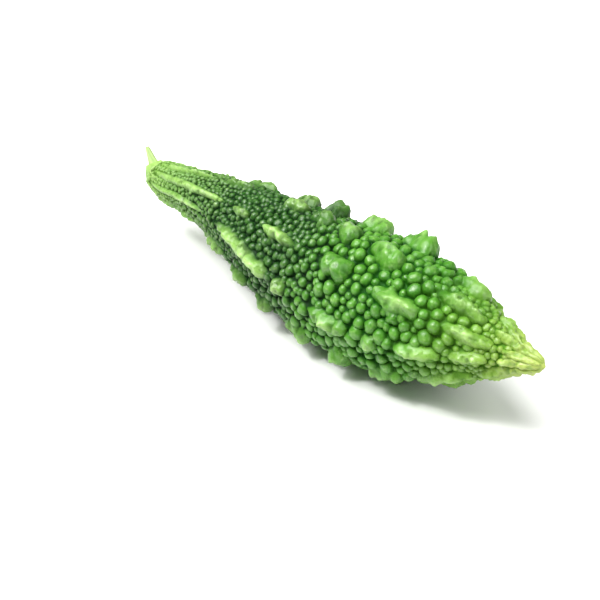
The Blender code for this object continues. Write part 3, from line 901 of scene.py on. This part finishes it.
class GourdColours(bpy.types.PropertyGroup):
    neck: skin_colour("Neck", "Skin at the stem end", 150, 182, 98)
    tip: skin_colour("Tip", "Skin at the blossom tip", 176, 184, 98)
    # Painted highlight mixed with wax bloom on the fruit's tops and crests; on the stem, the colour of its
    # pale fibres.
    bloom_and_highlight: skin_colour("Bloom", "The wax that pales the tops", 176, 210, 130)
    # The crease colours are painted shade: they darken the creases between the beads, the blocks' feet, the
    # pits and the stem's furrows. They also colour the real dark specks on the blocks.
    gap: skin_colour("Gap", "The creases of the darker half", 5, 40, 2)
    neck_shade_and_speck: skin_colour("Neck gap", "The creases near the stem end", 76, 116, 34)
    belly_shade_and_speck: skin_colour("Belly gap", "The creases of the lighter half", 16, 74, 2)
    tip_shade_and_speck: skin_colour("Tip gap", "The creases near the blossom tip", 84, 130, 28)
    bead_neck: skin_colour("Neck beads", "Beads near the stem end", 102, 142, 66)
    bead_dark: skin_colour("Dark beads", "Beads of the darker half", 42, 86, 22)
    bead_belly: skin_colour("Belly beads", "Beads of the lighter half", 72, 130, 34)
    bead_tip: skin_colour("Tip beads", "Beads near the blossom tip", 112, 150, 50)
    pale_dark: skin_colour("Dark pale blocks", "Pale blocks of the darker half", 124, 162, 78)
    pale_belly: skin_colour("Belly pale blocks", "Pale blocks of the lighter half", 98, 148, 56)
    pale_tip: skin_colour("Tip pale blocks", "Pale ridges near the blossom tip", 136, 168, 72)
    stem: skin_colour("Stem", "The stub of stem", 164, 186, 118)
    stem_dry: skin_colour("Dry stem", "The dried end of the stem", 150, 152, 98)


class StudioSetting(bpy.types.PropertyGroup):
    azimuth: bpy.props.FloatProperty(
        name="Azimuth", description="How far the camera stands round from the gourd's side",
        default=math.radians(45.8), subtype="ANGLE",
    )
    elevation: bpy.props.FloatProperty(
        name="Elevation", description="How far the camera looks down", default=math.radians(35),
        subtype="ANGLE",
    )
    distance: bpy.props.FloatProperty(
        name="Distance", description="From the camera to the gourd", default=0.65, unit="LENGTH"
    )
    lens: bpy.props.FloatProperty(name="Lens", description="Focal length in millimetres", default=93.15)
    right_of_middle: bpy.props.FloatProperty(
        name="Right of middle", description="How far right of the frame's middle the gourd stands",
        default=0.0097, unit="LENGTH",
    )
    above_middle: bpy.props.FloatProperty(
        name="Above middle", description="How far above the frame's middle the gourd stands",
        default=0.0137, unit="LENGTH",
    )
    floor: skin_colour("Floor", "The floor's colour", 244, 244, 242)
    key_power: bpy.props.FloatProperty(
        name="Key light", description="Power of the key light in watts", default=19
    )
    fill_power: bpy.props.FloatProperty(
        name="Fill light", description="Power of the fill light in watts", default=5
    )
    glint_power: bpy.props.FloatProperty(
        name="Glint light", description="Power of the small light that makes the wax glint", default=4.5
    )
    sky: bpy.props.FloatProperty(
        name="Sky", description="Strength of the even light from all round", default=0.17
    )


def view_directions(azimuth, elevation):
    """From the gourd towards the camera, and the picture's right and up."""
    back = Vector((
        math.sin(azimuth) * math.cos(elevation), -math.cos(azimuth) * math.cos(elevation), math.sin(elevation)
    ))
    right = Vector((math.cos(azimuth), math.sin(azimuth), 0))
    return back, right, back.cross(right)


def aimed_at(place, target):
    """The matrix of a camera or light at place that looks at target, level with the ground."""
    turn = (target - place).to_track_quat("-Z", "Y")
    return Matrix.LocRotScale(place, turn, None)


def add_softbox(name, place, target, size, power):
    light = bpy.data.lights.new(name, "AREA")
    light.shape = "DISK"
    light.size, light.energy = size, power
    lamp = bpy.data.objects.new(name, light)
    lamp.matrix_world = aimed_at(place, target)
    bpy.context.scene.collection.objects.link(lamp)


# Where each softbox hangs, in metres right of the gourd, towards the camera and up, and its width.
KEY_BOX = ((-0.34, -0.05, 0.85), 1.0)
FILL_BOX = ((0.6, 0.4, 0.35), 0.8)
GLINT_BOX = ((-0.5, 0.25, 0.7), 0.16)
FLOOR_HALF = 3
FLOOR_DROP = 0.1 * MM


class GOURD_OT_fruit(bpy.types.Operator):
    """Grow the fruit: one skin with its ridges, blocks and beads"""

    bl_idname = "gourd.fruit"
    bl_label = "Grow Fruit"

    def execute(self, context):
        fruit = make_fruit(context.scene.gourd_shape)
        fruit.data.materials.append(gourd_skin(context.scene.gourd_colours))
        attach(fruit, "root")
        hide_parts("fruit")
        return {"FINISHED"}


class GOURD_OT_stem(bpy.types.Operator):
    """Grow the stub of stem on the fruit's end"""

    bl_idname = "gourd.stem"
    bl_label = "Grow Stem"

    def execute(self, context):
        shape = context.scene.gourd_shape
        stem = make_stem(fruit_spine(shape), shape)
        stem.data.materials.append(stem_skin(context.scene.gourd_colours))
        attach(stem, "root")
        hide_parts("stem")
        return {"FINISHED"}


class GOURD_OT_stage(bpy.types.Operator):
    """Lay the floor, hang the lights and stand the camera"""

    bl_idname = "gourd.stage"
    bl_label = "Set Stage"

    def execute(self, context):
        studio, scene = context.scene.gourd_studio, context.scene
        bed = bmesh.new()
        bmesh.ops.create_grid(bed, x_segments=1, y_segments=1, size=FLOOR_HALF)
        bmesh.ops.translate(bed, verts=bed.verts[:], vec=(0, 0, -FLOOR_DROP))
        mesh = bpy.data.meshes.new("floor")
        bed.to_mesh(mesh)
        bed.free()
        floor = bpy.data.objects.new("floor", mesh)
        floor.data.materials.append(studio_floor(studio.floor))
        scene.collection.objects.link(floor)
        low, high = (Vector(corner) for corner in CAD_BOX)
        middle = (low + high) / 2
        back, right, up = view_directions(studio.azimuth, studio.elevation)
        target = middle - right * studio.right_of_middle - up * studio.above_middle
        camera_data = bpy.data.cameras.new("camera")
        camera_data.lens, camera_data.sensor_width, camera_data.clip_start = studio.lens, 36, 0.01
        camera = bpy.data.objects.new("camera", camera_data)
        camera.matrix_world = aimed_at(target + back * studio.distance, target)
        scene.collection.objects.link(camera)
        scene.camera = camera
        softboxes = {
            "key": (*KEY_BOX, studio.key_power), "fill": (*FILL_BOX, studio.fill_power),
            "glint": (*GLINT_BOX, studio.glint_power),
        }
        for name, (offset, size, power) in softboxes.items():
            place = middle + right * offset[0] + back * offset[1] + Vector((0, 0, offset[2]))
            add_softbox(name, place, middle, size, power)
        world = bpy.data.worlds.new("studio")
        world.use_nodes = True
        world.node_tree.nodes["Background"].inputs["Color"].default_value = (1, 1, 1, 1)
        world.node_tree.nodes["Background"].inputs["Strength"].default_value = studio.sky
        scene.world = world
        scene.view_settings.view_transform = "Standard"
        return {"FINISHED"}


class GOURD_PT_panel(bpy.types.Panel):
    bl_label = "Bitter Gourd"
    bl_space_type = "VIEW_3D"
    bl_region_type = "UI"
    bl_category = "Gourd"

    def draw(self, context):
        for group in (context.scene.gourd_shape, context.scene.gourd_colours, context.scene.gourd_studio):
            box = self.layout.box()
            for name in group.__annotations__:
                box.prop(group, name)
        for operator in (GOURD_OT_fruit, GOURD_OT_stem, GOURD_OT_stage):
            self.layout.operator(operator.bl_idname)


CLASSES = (
    GourdShape, GourdColours, StudioSetting, GOURD_OT_fruit, GOURD_OT_stem, GOURD_OT_stage, GOURD_PT_panel,
)


def register():
    for cls in CLASSES:
        bpy.utils.register_class(cls)
    bpy.types.Scene.gourd_shape = bpy.props.PointerProperty(type=GourdShape)
    bpy.types.Scene.gourd_colours = bpy.props.PointerProperty(type=GourdColours)
    bpy.types.Scene.gourd_studio = bpy.props.PointerProperty(type=StudioSetting)


def unregister():
    del bpy.types.Scene.gourd_studio, bpy.types.Scene.gourd_colours, bpy.types.Scene.gourd_shape
    for cls in reversed(CLASSES):
        bpy.utils.unregister_class(cls)


def main():
    register()
    bpy.ops.gourd.fruit()
    bpy.ops.gourd.stem()
    bpy.ops.gourd.stage()


if __name__ == "__main__":
    main()
